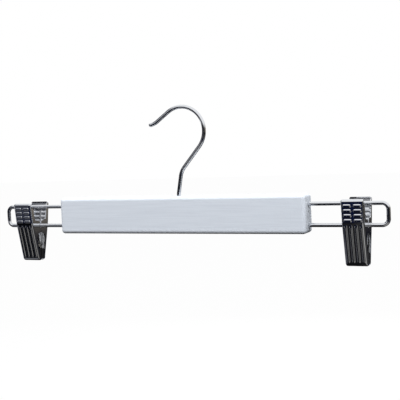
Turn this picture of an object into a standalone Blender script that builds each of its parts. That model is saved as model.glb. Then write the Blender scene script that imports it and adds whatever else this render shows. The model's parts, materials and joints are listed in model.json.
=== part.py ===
"""Wooden clip hanger: a lacquered bar, a swivel hook, two wire loops and two spring clips.

Metres, +Z up. The hanger hangs on the underside of its hook's crown, which is the origin.
X runs along the bar, and -Y is the front. The clips slide along the loops' two wires, and their
jaws turn on the lower wire.
"""
import math

import bmesh
import bpy
from mathutils import Matrix, Vector

# Bar
BAR_LENGTH = 0.2266
BAR_HEIGHT = 0.0314
BAR_THICKNESS = 0.0190
BAR_EDGE_RADIUS = 0.0030

# Hook: one bent wire, whose lines and arcs run from the bar's top to the tip
HOOK_WIRE = 0.0033
HOOK_ROOT_RADIUS = 0.0160
HOOK_ROOT_TURN = math.radians(10.3)
HOOK_STEM_LENGTH = 0.0138
HOOK_NECK_RADIUS = 0.0162
HOOK_NECK_TURN = math.radians(30.5)
HOOK_SHANK_LENGTH = 0.0220
HOOK_BOWL_RADIUS = 0.0205
HOOK_BOWL_TURN = math.radians(166.3)
HOOK_LEAD_LENGTH = 0.0129
HOOK_TIP_RADIUS = 0.0150
HOOK_TIP_TURN = math.radians(26.6)

# Swivel: the stem's upset head turns under a washer, in a counterbore under the bar
HEAD_DIAMETER = 0.0064
HEAD_THICKNESS = 0.0020
WASHER_DIAMETER = 0.0094
WASHER_THICKNESS = 0.0009
COUNTERBORE_DEPTH = 0.0062

# Wire loops
LOOP_WIRE = 0.0033
LEFT_LOOP_REACH = 0.0640
RIGHT_LOOP_REACH = 0.0648
LOOP_SEAT_DEPTH = 0.0260
LOOP_CORNER_RADIUS = 0.0048
WIRE_SPACING = 0.0170
LOWER_WIRE_DROP = 0.0092

# Clips: where each stands on its loop, measured from the loop's outer end
LEFT_CLIP_FROM_END = 0.0272
RIGHT_CLIP_FROM_END = 0.0262

# Jaws: a folded channel, as wide at the top as at the foot
JAW_WIDTH = 0.0178
SHEET = 0.0008
FOLD_RADIUS = 0.0015
JAW_ABOVE_UPPER_WIRE = 0.0040
JAW_BELOW_LOWER_WIRE = 0.0317
HALF_SPREAD_TOP = 0.0156
HALF_SPREAD_FOOT = 0.0048
BEND_ABOVE_LOWER_WIRE = 0.0027
BEND_BULGE = 0.0012
BEND_RADIUS = 0.0120
LIP_LENGTH = 0.0030
LIP_RADIUS = 0.0012
NOSE_LENGTH = 0.0031
NOSE_RADIUS = 0.0022
JAW_OPENING = math.radians(15)

# Side flanges of a jaw: lever, ear on the lower wire, grip and foot
LEVER_FLANGE_DEPTH = 0.0048
EAR_ABOVE_WIRE = 0.0040
EAR_BELOW_WIRE = 0.0064
EAR_CORNER_RADIUS = 0.0010
EAR_ROOT_RADIUS = 0.0028
EAR_ARCH_RADIUS = 0.0050
GRIP_FLANGE_DEPTH = 0.0040
FOOT_FLANGE_DEPTH = 0.0024

# Embossed grip bumps and ribs
EMBOSS_HEIGHT = 0.0006
EMBOSS_CROWN = 0.0005
BUMP_ROWS = 4
BUMP_PITCH = 0.0038
BUMP_WIDTH = 0.0027
BUMP_COLUMN_GAP = 0.0012
FIRST_BUMP_DROP = 0.0050
RIB_COUNT = 4
RIB_WIDTH = 0.0025
RIB_HEAD_ABOVE_WIRE = 0.0013
RIB_FOOT_ABOVE_NOSE = 0.0030

# Leaf spring over the lower wire, whose curled ends hold a lug inside each jaw
SPRING_WIDTH = 0.0080
SPRING_SHEET = 0.0005
LUG_DROP = 0.0186
LUG_WIDTH = 0.0020
LUG_SHEET = 0.0006
LUG_TURN_DOWN = 0.0016

# Rubber pads
PAD_HEIGHT = 0.0090
PAD_GROOVES = 4
PAD_GROOVE_WIDTH = 0.0007
PAD_GROOVE_DEPTH = 0.0004

# Clearances between pieces that touch or slide, and between the two halves of a clip
SEAT_GAP = 0.0003
HALF_GAP = 0.00015

# Smoothness of round shapes
WIRE_BEVEL_STEPS = 6
ARC_STEP = math.radians(8)
FILLET_STEP = math.radians(16)
BORE_SIDES = 24
EDGE_SEGMENTS = 4
FOLD_SEGMENTS = 3
EMBOSS_END_STEPS = 5
ROUNDING_ANGLES = (math.radians(30), math.radians(60), math.radians(80))
SHARP_ANGLE = math.radians(35)

# Finishes: name, colour, roughness and metallic value
CHROME = ("chrome_plate", (0.78, 0.79, 0.81), 0.08, 1.0)
SPRING_STEEL = ("nickel_plated_spring_steel", (0.70, 0.70, 0.70), 0.16, 1.0)
ZINC = ("zinc_plate", (0.62, 0.63, 0.65), 0.35, 1.0)
LACQUER = ("white_lacquered_wood", (0.80, 0.82, 0.85), 0.42, 0.0)
RUBBER = ("black_rubber", (0.02, 0.02, 0.022), 0.70, 0.0)

LEFT_END = -BAR_LENGTH / 2 - LEFT_LOOP_REACH
RIGHT_END = BAR_LENGTH / 2 + RIGHT_LOOP_REACH
UPPER_WIRE_RISE = WIRE_SPACING - LOWER_WIRE_DROP
CEILING = COUNTERBORE_DEPTH - BAR_HEIGHT / 2

# Heights over the lower wire, which a clip's jaws turn on
JAW_TOP = WIRE_SPACING + JAW_ABOVE_UPPER_WIRE
JAW_FOOT = -JAW_BELOW_LOWER_WIRE


def clear_scene():
    """Remove everything that the start-up file holds."""
    for obj in list(bpy.data.objects):
        bpy.data.objects.remove(obj, do_unlink=True)


def material(finish):
    """Return the Principled material of a finish, made once."""
    name, colour, roughness, metallic = finish
    made = bpy.data.materials.get(name)
    if made is None:
        made = bpy.data.materials.new(name)
        made.use_nodes = True
        shader = made.node_tree.nodes["Principled BSDF"]
        shader.inputs["Base Color"].default_value = (*colour, 1.0)
        shader.inputs["Roughness"].default_value = roughness
        shader.inputs["Metallic"].default_value = metallic
    return made


def add_object(name, data, parent=None, location=(0, 0, 0), turn=0.0):
    """Link a mesh, a curve or an empty to the scene, placed and turned about Z under its parent."""
    obj = bpy.data.objects.new(name, data)
    bpy.context.scene.collection.objects.link(obj)
    obj.location = location
    obj.rotation_euler.z = turn
    obj.parent = parent
    return obj


def mesh_from(bm, name, finish):
    """Turn a bmesh into a smooth mesh with sharp folds and outward faces."""
    bmesh.ops.recalc_face_normals(bm, faces=bm.faces)
    mesh = bpy.data.meshes.new(name)
    bm.to_mesh(mesh)
    bm.free()
    mesh.shade_smooth()
    mesh.set_sharp_from_angle(angle=SHARP_ANGLE)
    mesh.materials.append(material(finish))
    return mesh


def bend_path(moves):
    """Follow lines and arcs from the origin, heading up. A move is a length, or a radius and a turn."""
    x, z, heading = 0.0, 0.0, 0.0
    points = [(x, z)]
    for move in moves:
        steps, chord, step_turn = 1, move[0], 0.0
        if len(move) == 2:
            radius, turn = move
            steps = max(2, math.ceil(abs(turn) / ARC_STEP))
            step_turn = turn / steps
            chord = 2 * radius * math.sin(abs(step_turn) / 2)
        for _ in range(steps):
            heading += step_turn / 2
            x += chord * math.sin(heading)
            z += chord * math.cos(heading)
            heading += step_turn / 2
            points.append((x, z))
    return points, heading


def fillet(corners, closed=True):
    """Round an outline's corners. A corner is (u, v, radius), and is sharp where the radius is 0."""
    outline = []
    for index, (u, v, radius) in enumerate(corners):
        is_end = not closed and index in (0, len(corners) - 1)
        if radius <= 0 or is_end:
            outline.append((u, v))
            continue
        here = Vector((u, v))
        to_last = (Vector(corners[index - 1][:2]) - here).normalized()
        to_next = (Vector(corners[(index + 1) % len(corners)][:2]) - here).normalized()
        half = to_last.angle(to_next) / 2
        centre = here + (to_last + to_next).normalized() * radius / math.sin(half)
        first = here + to_last * radius / math.tan(half) - centre
        last = here + to_next * radius / math.tan(half) - centre
        sweep = -first.angle_signed(last)
        steps = max(2, math.ceil(abs(sweep) / FILLET_STEP))
        for step in range(steps + 1):
            arm = first.copy()
            arm.rotate(Matrix.Rotation(sweep * step / steps, 2))
            outline.append(tuple(centre + arm))
    return outline


def offset(path, distance):
    """Shift an open path sideways, to its left for a positive distance."""
    shifted = []
    for index, point in enumerate(path):
        here = Vector(point)
        leaving = (Vector(path[min(index + 1, len(path) - 1)]) - here).normalized()
        arriving = (here - Vector(path[max(index - 1, 0)])).normalized()
        along = (arriving + leaving).normalized()
        stretch = distance / max(along.dot(leaving), along.dot(arriving))
        shifted.append((here.x - along.y * stretch, here.y + along.x * stretch))
    return shifted


def prism(outline, half_width, fold_path=(), fold_radius=0.0):
    """Extrude an outline in Y and Z to both sides along X, and round its edges along the fold path."""
    bm = bmesh.new()
    face = bm.faces.new([bm.verts.new((-half_width, y, z)) for y, z in outline])
    extruded = bmesh.ops.extrude_face_region(bm, geom=[face])
    moved = [item for item in extruded["geom"] if isinstance(item, bmesh.types.BMVert)]
    bmesh.ops.translate(bm, verts=moved, vec=(2 * half_width, 0, 0))
    bmesh.ops.recalc_face_normals(bm, faces=bm.faces)
    on_fold = {vert for vert in bm.verts if any(math.dist(vert.co.yz, point) < 1e-6 for point in fold_path)}
    folds = [
        edge
        for edge in bm.edges
        if on_fold.issuperset(edge.verts) and edge.verts[0].co.x * edge.verts[1].co.x > 0
    ]
    if folds:
        bmesh.ops.bevel(
            bm, geom=folds, offset=fold_radius, segments=FOLD_SEGMENTS, profile=0.5, affect="EDGES"
        )
    return bm


def turned(profile, name, finish, closed=False):
    """Turn a profile of radius and height about Z into a closed mesh."""
    bm = bmesh.new()
    verts = [bm.verts.new((radius, 0, height)) for radius, height in profile]
    edges = [bm.edges.new(pair) for pair in zip(verts, verts[1:])]
    if closed:
        edges.append(bm.edges.new((verts[-1], verts[0])))
    bmesh.ops.spin(
        bm, geom=verts + edges, axis=(0, 0, 1), angle=math.tau, steps=BORE_SIDES, use_merge=True
    )
    bmesh.ops.remove_doubles(bm, verts=bm.verts, dist=1e-6)
    return mesh_from(bm, name, finish)


def add_wire(name, points, diameter, finish, parent=None, swell=None):
    """Run a round wire along points. Swell gives a factor on the diameter by a point's number."""
    curve = bpy.data.curves.new(name, "CURVE")
    curve.dimensions = "3D"
    curve.bevel_depth = diameter / 2
    curve.bevel_resolution = WIRE_BEVEL_STEPS
    curve.use_fill_caps = True
    curve.materials.append(material(finish))
    spline = curve.splines.new("POLY")
    spline.points.add(len(points) - 1)
    spline.use_smooth = True
    for index, point in enumerate(points):
        spline.points[index].co = (*point, 1.0)
        spline.points[index].radius = (swell or {}).get(index, 1.0)
    return add_object(name, curve, parent)


def combine(target, tool, operation):
    """Add a Boolean of the tool to the target, and keep the tool out of the finished part."""
    modifier = target.modifiers.new(tool.name, "BOOLEAN")
    modifier.operation = operation
    modifier.object = tool
    modifier.solver = "EXACT"
    tool.hide_render = True
    tool.display_type = "WIRE"


HOOK_TO_BOWL = (
    (HOOK_ROOT_RADIUS, HOOK_ROOT_TURN),
    (HOOK_STEM_LENGTH,),
    (HOOK_NECK_RADIUS, HOOK_NECK_TURN),
    (HOOK_SHANK_LENGTH,),
)
HOOK_FROM_BOWL = (
    (HOOK_BOWL_RADIUS, -HOOK_BOWL_TURN),
    (HOOK_LEAD_LENGTH,),
    (HOOK_TIP_RADIUS, HOOK_TIP_TURN),
)
shank, shank_heading = bend_path(HOOK_TO_BOWL)
bowl_centre_x = shank[-1][0] - HOOK_BOWL_RADIUS * math.cos(shank_heading)
bowl_centre_z = shank[-1][1] + HOOK_BOWL_RADIUS * math.sin(shank_heading)

# The crown's underside is the origin, so the stem and the bar lie below it
STEM_X = -bowl_centre_x
BAR_TOP = HOOK_WIRE / 2 - HOOK_BOWL_RADIUS - bowl_centre_z
BAR_CENTRE = (STEM_X, 0, BAR_TOP - BAR_HEIGHT / 2)


def make_hook():
    """Bend the hook from one wire, with an upset head below its stem and a rounded tip."""
    head_top = BAR_CENTRE[2] + CEILING - WASHER_THICKNESS - 2 * SEAT_GAP
    head_edge = HEAD_THICKNESS / 5
    head_swell = HEAD_DIAMETER / HOOK_WIRE
    head_levels = (
        (head_top - HEAD_THICKNESS, 0.8 * head_swell),
        (head_top - HEAD_THICKNESS + head_edge, head_swell),
        (head_top - head_edge, head_swell),
        (head_top, 0.9 * head_swell),
        (head_top + SEAT_GAP, 1.0),
    )
    points = [(STEM_X, 0, level) for level, _ in head_levels]
    swell = {index: factor for index, (_, factor) in enumerate(head_levels)}
    path, heading = bend_path(HOOK_TO_BOWL + HOOK_FROM_BOWL)
    points += [(STEM_X + x, 0, BAR_TOP + z) for x, z in path]
    end_x, _, end_z = points[-1]
    for angle in ROUNDING_ANGLES:
        onward = HOOK_WIRE / 2 * math.sin(angle)
        swell[len(points)] = math.cos(angle)
        points.append((end_x + onward * math.sin(heading), 0, end_z + onward * math.cos(heading)))
    add_wire("hook", points, HOOK_WIRE, CHROME, swell=swell)


def make_bar(parent):
    """Make the wooden bar with its rounded edges, and cut its wire bores and the hook's bore."""
    bm = bmesh.new()
    bmesh.ops.create_cube(bm, size=1.0)
    bmesh.ops.scale(bm, vec=(BAR_LENGTH, BAR_THICKNESS, BAR_HEIGHT), verts=bm.verts)
    bmesh.ops.bevel(
        bm, geom=bm.edges[:], offset=BAR_EDGE_RADIUS, segments=EDGE_SEGMENTS, profile=0.5, affect="EDGES"
    )
    bar = add_object("wooden_bar", mesh_from(bm, "wooden_bar", LACQUER), parent)
    combine(bar, make_wire_bores(parent), "DIFFERENCE")
    combine(bar, make_hook_bore(parent), "DIFFERENCE")


def make_wire_bores(parent):
    """Make the cutter of the four blind bores that the loops' legs sit in."""
    bm = bmesh.new()
    inner = BAR_LENGTH / 2 - LOOP_SEAT_DEPTH - SEAT_GAP
    outer = BAR_LENGTH / 2 + SEAT_GAP
    for side in (-1, 1):
        for rise in (-LOWER_WIRE_DROP, UPPER_WIRE_RISE):
            place = Matrix.Translation((side * (inner + outer) / 2, 0, rise))
            bmesh.ops.create_cone(
                bm,
                cap_ends=True,
                segments=BORE_SIDES,
                radius1=LOOP_WIRE / 2 + SEAT_GAP,
                radius2=LOOP_WIRE / 2 + SEAT_GAP,
                depth=outer - inner,
                matrix=place @ Matrix.Rotation(math.pi / 2, 4, "Y"),
            )
    return add_object("wire_bore_cutter", mesh_from(bm, "wire_bore_cutter", LACQUER), parent)


def make_hook_bore(parent):
    """Make the cutter of the stem's bore and the counterbore for washer and head."""
    beyond = BAR_HEIGHT / 2 + SEAT_GAP
    bore = HOOK_WIRE / 2 + SEAT_GAP
    counterbore = WASHER_DIAMETER / 2 + SEAT_GAP
    profile = ((0, beyond), (bore, beyond), (bore, CEILING), (counterbore, CEILING))
    profile += ((counterbore, -beyond), (0, -beyond))
    return add_object("hook_bore_cutter", turned(profile, "hook_bore_cutter", LACQUER), parent)


def make_washer(parent):
    """Turn the flat washer that the hook's head bears on."""
    bore = HOOK_WIRE / 2 + SEAT_GAP
    top = CEILING - SEAT_GAP
    foot = top - WASHER_THICKNESS
    rim = WASHER_DIAMETER / 2
    profile = ((bore, top), (rim, top), (rim, foot), (bore, foot))
    add_object("hook_washer", turned(profile, "hook_washer", ZINC, closed=True), parent)


def make_loop(name, end, parent):
    """Bend a wire loop: two straight legs that sit in the bar, joined at the outer end."""
    side = math.copysign(1, end)
    inner = BAR_LENGTH / 2 - LOOP_SEAT_DEPTH
    outer = abs(end) - LOOP_WIRE / 2
    corners = (
        (inner, UPPER_WIRE_RISE, 0),
        (outer, UPPER_WIRE_RISE, LOOP_CORNER_RADIUS),
        (outer, -LOWER_WIRE_DROP, LOOP_CORNER_RADIUS),
        (inner, -LOWER_WIRE_DROP, 0),
    )
    points = [(side * x, 0, z) for x, z in fillet(corners, closed=False)]
    add_wire(name, points, LOOP_WIRE, CHROME, parent)


def plate_corners():
    """Give the corners of a front jaw's sheet on its outer face: lip, top, bend, foot and nose."""
    slope = (HALF_SPREAD_TOP - HALF_SPREAD_FOOT) / (JAW_TOP - JAW_FOOT)
    bend_y = -HALF_SPREAD_FOOT - slope * (BEND_ABOVE_LOWER_WIRE - JAW_FOOT) - BEND_BULGE
    return (
        (LIP_LENGTH - HALF_SPREAD_TOP, JAW_TOP, 0),
        (-HALF_SPREAD_TOP, JAW_TOP, LIP_RADIUS + SHEET),
        (bend_y, BEND_ABOVE_LOWER_WIRE, BEND_RADIUS),
        (-HALF_SPREAD_FOOT, JAW_FOOT, NOSE_RADIUS + SHEET),
        (NOSE_LENGTH - HALF_SPREAD_FOOT, JAW_FOOT, 0),
    )


def plate_y(z, depth=0.0):
    """Give Y on a front jaw's outer face at a height over the lower wire, or at a depth behind it."""
    _, top, bend, foot, _ = plate_corners()
    upper, lower = (top, bend) if z > bend[1] else (bend, foot)
    share = (upper[1] - z) / (upper[1] - lower[1])
    return upper[0] + share * (lower[0] - upper[0]) + depth


def notch_arc():
    """Give the ear's half of the hole for the lower wire, from below the wire to above it."""
    radius = LOOP_WIRE / 2 + SEAT_GAP
    clear = math.asin(HALF_GAP / radius)
    start = 1.5 * math.pi - clear
    finish = 0.5 * math.pi + JAW_OPENING + clear
    steps = math.ceil((start - finish) / FILLET_STEP)
    angles = [start + (finish - start) * step / steps for step in range(steps + 1)]
    return [(radius * math.cos(angle), radius * math.sin(angle), 0) for angle in angles]


def flange_corners():
    """Give the free edge of a front jaw's side flange, from the nose up to the lip.

    Above the wire an ear is cut back by the opening angle, so that it meets its partner when the
    levers are pressed together.
    """
    foot_bend = JAW_FOOT + SHEET + NOSE_RADIUS
    ear_foot = -EAR_BELOW_WIRE
    ear_top_y = -HALF_GAP - EAR_ABOVE_WIRE * math.tan(JAW_OPENING)
    lever_foot = EAR_ABOVE_WIRE + EAR_ROOT_RADIUS / 2
    lever_top = JAW_TOP - 2 * SHEET - LIP_LENGTH + LIP_RADIUS
    return (
        (NOSE_LENGTH - HALF_SPREAD_FOOT, JAW_FOOT + 2 * SHEET, 0),
        (plate_y(foot_bend, FOOT_FLANGE_DEPTH), foot_bend, 0),
        (plate_y(ear_foot, GRIP_FLANGE_DEPTH), ear_foot, EAR_ARCH_RADIUS),
        (-HALF_GAP, ear_foot, 0),
        *notch_arc(),
        (ear_top_y, EAR_ABOVE_WIRE, EAR_CORNER_RADIUS),
        (plate_y(lever_foot, LEVER_FLANGE_DEPTH), lever_foot, EAR_ROOT_RADIUS),
        (plate_y(lever_top, LEVER_FLANGE_DEPTH), lever_top, EAR_ROOT_RADIUS),
        (LIP_LENGTH - HALF_SPREAD_TOP, JAW_TOP - 2 * SHEET, 0),
    )


def emboss_places():
    """Yield each bump and rib: its centre, long axis, outward normal, length and width."""
    _, top, bend, foot, _ = plate_corners()
    across = Vector((1, 0, 0))
    flat_half = JAW_WIDTH / 2 - FOLD_RADIUS
    lever = Vector((0, top[0] - bend[0], top[1] - bend[1])).normalized()
    grip = Vector((0, bend[0] - foot[0], bend[1] - foot[1])).normalized()
    bump_length = flat_half - BUMP_COLUMN_GAP / 2
    bump_x = (flat_half + BUMP_COLUMN_GAP / 2) / 2
    for row in range(BUMP_ROWS):
        z = JAW_TOP - FIRST_BUMP_DROP - row * BUMP_PITCH
        for x in (-bump_x, bump_x):
            yield Vector((x, plate_y(z), z)), across, lever.cross(across), bump_length, BUMP_WIDTH
    rib_foot = JAW_FOOT + RIB_FOOT_ABOVE_NOSE
    rib_z = (RIB_HEAD_ABOVE_WIRE + rib_foot) / 2
    rib_length = (RIB_HEAD_ABOVE_WIRE - rib_foot) / grip.z
    rib_pitch = (2 * flat_half - RIB_WIDTH) / (RIB_COUNT - 1)
    for rib in range(RIB_COUNT):
        x = (rib - (RIB_COUNT - 1) / 2) * rib_pitch
        yield Vector((x, plate_y(rib_z), rib_z)), grip, grip.cross(across), rib_length, RIB_WIDTH


def add_stadium(bm, centre, long_axis, normal, length, width, levels):
    """Add a block with round ends to a bmesh. A level is a height along the normal and an inset."""
    short_axis = normal.cross(long_axis)
    straight = (length - width) / 2
    rings = []
    for height, inset in levels:
        radius = width / 2 - inset
        ring = []
        for end in (1, -1):
            for step in range(EMBOSS_END_STEPS + 1):
                angle = math.pi * (step / EMBOSS_END_STEPS - 0.5)
                along = end * (straight + radius * math.cos(angle))
                aside = end * radius * math.sin(angle)
                place = centre + along * long_axis + aside * short_axis + height * normal
                ring.append(bm.verts.new(place))
        rings.append(ring)
    for lower, upper in zip(rings, rings[1:]):
        for index in range(len(lower)):
            after = (index + 1) % len(lower)
            bm.faces.new((lower[index], lower[after], upper[after], upper[index]))
    bm.faces.new(rings[0])
    bm.faces.new(rings[-1])


def make_raised_stamp():
    """Make the raised outer faces of the bumps and ribs, rooted in the sheet."""
    bm = bmesh.new()
    levels = ((-SHEET / 2, 0), (EMBOSS_HEIGHT / 3, 0), (EMBOSS_HEIGHT, EMBOSS_CROWN))
    for centre, long_axis, normal, length, width in emboss_places():
        add_stadium(bm, centre, long_axis, normal, length, width, levels)
    return add_object("raised_stamp", mesh_from(bm, "raised_stamp", CHROME))


def make_hollow_stamp():
    """Make the hollows behind the bumps and ribs, one sheet thickness under their outer faces."""
    bm = bmesh.new()
    levels = ((-SHEET - EMBOSS_HEIGHT, 0), (EMBOSS_HEIGHT - SHEET, 0))
    for centre, long_axis, normal, length, width in emboss_places():
        add_stadium(bm, centre, long_axis, normal, length - SHEET, width - SHEET, levels)
    return add_object("hollow_stamp", mesh_from(bm, "hollow_stamp", CHROME))


def make_lug():
    """Make the lug behind a jaw's plate, turned down at its tip, that the spring's curl holds."""
    slot = SEAT_GAP + SPRING_SHEET + SEAT_GAP
    root = plate_y(-LUG_DROP, SHEET / 2)
    outer = plate_y(-LUG_DROP - LUG_TURN_DOWN, SHEET) + slot
    inner = outer + LUG_SHEET
    shelf_top = LUG_SHEET - LUG_DROP
    corners = (
        (root, shelf_top, 0),
        (root, -LUG_DROP, 0),
        (outer, -LUG_DROP, 0),
        (outer, -LUG_DROP - LUG_TURN_DOWN, 0),
        (inner, -LUG_DROP - LUG_TURN_DOWN, 0),
        (inner, shelf_top, LUG_SHEET / 2),
    )
    return add_object("lug_stamp", mesh_from(prism(fillet(corners), LUG_WIDTH / 2), "lug_stamp", CHROME))


def stamp_jaw():
    """Stamp one jaw from sheet: channel, lip, nose and ears, then bumps, ribs and lug."""
    half = JAW_WIDTH / 2
    sheet_path = fillet(plate_corners(), closed=False)
    inner_path = offset(sheet_path, SHEET)
    flange_path = fillet(flange_corners(), closed=False)
    blank = prism(sheet_path + flange_path, half, sheet_path, FOLD_RADIUS)
    jaw = add_object("jaw", mesh_from(blank, "jaw", CHROME))

    partner_side = HALF_SPREAD_TOP
    room = inner_path + [(partner_side, inner_path[-1][1]), (partner_side, inner_path[0][1])]
    channel = prism(room, half - SHEET, inner_path, FOLD_RADIUS - SHEET)
    stamps = (
        (add_object("channel_stamp", mesh_from(channel, "channel_stamp", CHROME)), "DIFFERENCE"),
        (make_raised_stamp(), "UNION"),
        (make_hollow_stamp(), "DIFFERENCE"),
        (make_lug(), "UNION"),
    )
    for stamp, operation in stamps:
        combine(jaw, stamp, operation)
    depsgraph = bpy.context.evaluated_depsgraph_get()
    mesh = bpy.data.meshes.new_from_object(jaw.evaluated_get(depsgraph))
    for used in (jaw, *(stamp for stamp, _ in stamps)):
        bpy.data.objects.remove(used, do_unlink=True)
    return mesh


def bend_spring():
    """Bend the leaf spring: an arch over the lower wire, two legs, and curls round the lugs."""
    arch_radius = LOOP_WIRE / 2 + SEAT_GAP + SPRING_SHEET / 2
    curl_radius = LUG_SHEET / 2 + SEAT_GAP + SPRING_SHEET / 2
    curl_z = -LUG_DROP - LUG_TURN_DOWN
    curl_outer_y = plate_y(curl_z, SHEET) + SEAT_GAP + SPRING_SHEET / 2
    curl_inner_y = curl_outer_y + 2 * curl_radius
    half_path = [
        (curl_outer_y, curl_z + LUG_TURN_DOWN / 2, 0),
        (curl_outer_y, curl_z - curl_radius, curl_radius),
        (curl_inner_y, curl_z - curl_radius, curl_radius),
        (curl_inner_y, LUG_SHEET - LUG_DROP, 2 * LUG_SHEET),
        (-arch_radius, 0, 0),
        (-arch_radius, arch_radius, arch_radius),
    ]
    corners = half_path + [(-y, z, radius) for y, z, radius in reversed(half_path)]
    path = fillet(corners, closed=False)
    outline = offset(path, SPRING_SHEET / 2) + list(reversed(offset(path, -SPRING_SHEET / 2)))
    return mesh_from(prism(outline, SPRING_WIDTH / 2), "spring", SPRING_STEEL)


def mould_pad():
    """Mould the rubber pad that fills a jaw's foot, with grooves across its gripping face."""
    foot = JAW_FOOT + SHEET + SEAT_GAP
    top = foot + PAD_HEIGHT
    behind = SHEET + SEAT_GAP
    pitch = PAD_HEIGHT / (PAD_GROOVES + 1)
    corners = [
        (plate_y(top, behind), top, SEAT_GAP),
        (plate_y(foot, behind), foot, NOSE_RADIUS - SEAT_GAP),
        (-HALF_GAP, foot, SEAT_GAP),
    ]
    for groove in range(PAD_GROOVES):
        z = foot + (groove + 1) * pitch
        corners += [
            (-HALF_GAP, z - PAD_GROOVE_WIDTH / 2, 0),
            (-HALF_GAP - PAD_GROOVE_DEPTH, z, 0),
            (-HALF_GAP, z + PAD_GROOVE_WIDTH / 2, 0),
        ]
    corners.append((-HALF_GAP, top, 2 * SEAT_GAP))
    half = JAW_WIDTH / 2 - SHEET - SEAT_GAP
    return mesh_from(prism(fillet(corners), half), "pad", RUBBER)


def make_clip(side, x, parent, jaw_mesh, pad_mesh, spring_mesh):
    """Set a clip on the wires: jaws and pads that turn on the lower wire, and their spring."""
    clip = add_object(f"{side}_clip", None, parent, (x, 0, -LOWER_WIRE_DROP))
    for half, turn in (("front", 0.0), ("rear", math.pi)):
        pivot = add_object(f"{side}_{half}_pivot", None, clip, turn=turn)
        add_object(f"{side}_{half}_jaw", jaw_mesh, pivot)
        add_object(f"{side}_{half}_pad", pad_mesh, pivot)
    add_object(f"{side}_spring", spring_mesh, clip)


def build():
    """Build the whole hanger."""
    clear_scene()
    make_hook()
    swivel = add_object("swivel", None, location=BAR_CENTRE)
    make_bar(swivel)
    make_washer(swivel)
    make_loop("left_wire_loop", LEFT_END, swivel)
    make_loop("right_wire_loop", RIGHT_END, swivel)
    clip_meshes = (stamp_jaw(), mould_pad(), bend_spring())
    make_clip("left", LEFT_END + LEFT_CLIP_FROM_END, swivel, *clip_meshes)
    make_clip("right", RIGHT_END - RIGHT_CLIP_FROM_END, swivel, *clip_meshes)


build()
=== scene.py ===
"""Looks of the wooden clip hanger: its lacquered bar, chrome hook and wires, and its spring clips.

Metres, +Z up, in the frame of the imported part. The hanger hangs on the underside of its hook's
crown, which is the origin. X runs along the bar, and -Y is the front.
"""
import json
import logging
import math
from collections.abc import Sequence
from dataclasses import dataclass, field, replace
from enum import Enum
from typing import Any

import bmesh
import bpy
from bmesh.types import BMEdge, BMesh, BMFace, BMVert
from bpy.types import ID, Material, Mesh, Node, NodeSocket, NodeTree, Object
from mathutils import Matrix, Vector


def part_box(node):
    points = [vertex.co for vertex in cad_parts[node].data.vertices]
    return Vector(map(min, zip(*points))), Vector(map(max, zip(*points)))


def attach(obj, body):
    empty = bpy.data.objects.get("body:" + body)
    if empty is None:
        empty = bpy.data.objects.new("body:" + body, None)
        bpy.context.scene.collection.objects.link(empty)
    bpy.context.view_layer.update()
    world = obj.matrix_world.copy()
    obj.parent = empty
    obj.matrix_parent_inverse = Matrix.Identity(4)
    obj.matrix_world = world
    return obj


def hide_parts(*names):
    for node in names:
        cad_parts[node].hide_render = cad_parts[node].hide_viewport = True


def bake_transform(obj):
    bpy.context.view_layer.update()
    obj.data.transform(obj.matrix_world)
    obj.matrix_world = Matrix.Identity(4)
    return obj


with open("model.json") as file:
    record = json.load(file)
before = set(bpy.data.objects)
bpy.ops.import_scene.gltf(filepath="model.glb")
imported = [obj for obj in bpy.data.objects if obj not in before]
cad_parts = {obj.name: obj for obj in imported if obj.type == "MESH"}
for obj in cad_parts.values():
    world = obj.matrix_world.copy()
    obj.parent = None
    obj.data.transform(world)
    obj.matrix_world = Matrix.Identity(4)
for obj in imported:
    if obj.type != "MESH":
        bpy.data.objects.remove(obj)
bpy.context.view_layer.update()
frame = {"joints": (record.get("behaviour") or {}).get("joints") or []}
LOG = logging.getLogger("clip_hanger")
MM = 0.001

# Sizes that pieces which fit together share
WIRE = 3.3 * MM
CLEARANCE = 0.3 * MM
WIRE_HOLE = WIRE + 2 * CLEARANCE

# How far a cutting tool stands out of its piece
OVERSHOOT = 1.0 * MM
# Points nearer than this are one point
SAME_PLACE = 1e-6
# Faces whose normals' cosine is above this are parallel
FLAT_COSINE = 0.9999
# Folds sharper than this stay crisp
SHARP_ANGLE = math.radians(40)
# The weight at which the largest faces at a corner set its shading
FLAT_WEIGHT = 100
# Sockets of the Mix node for colours, whose names other sockets share
MIX_SHARE, MIX_FIRST, MIX_LAST, MIX_RESULT = 0, 6, 7, 2

Span = tuple[float, float]
Point = tuple[float, float]
Corner = tuple[float, float, float]
Shade = NodeSocket | str


class Place(Enum):
    """A place on the hanger that the nodes' names hold."""

    @property
    def word(self) -> str:
        """Name this place as the nodes do."""
        return self.name.lower()


class Side(Place):
    """An end of the hanger, as its sign along X."""

    LEFT = -1
    RIGHT = 1


class Half(Place):
    """A half of a clip, as the turn about Z that brings a front jaw there."""

    FRONT = 0.0
    REAR = math.pi


class Work(Enum):
    """What a tool does to a shape."""

    CUT = "DIFFERENCE"
    JOIN = "UNION"


def linear(hex_colour: str) -> tuple[float, ...]:
    """Turn an sRGB hex colour into the linear colour that shaders take.

    Args:
        hex_colour: six hex digits after a hash.

    Returns:
        Linear red, green and blue, then an alpha of 1.
    """
    digits = hex_colour.lstrip("#")
    parts = [int(digits[place:place + 2], 16) / 255 for place in (0, 2, 4)]
    return (*(part / 12.92 if part <= 0.04045 else ((part + 0.055) / 1.055) ** 2.4 for part in parts), 1.0)


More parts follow.
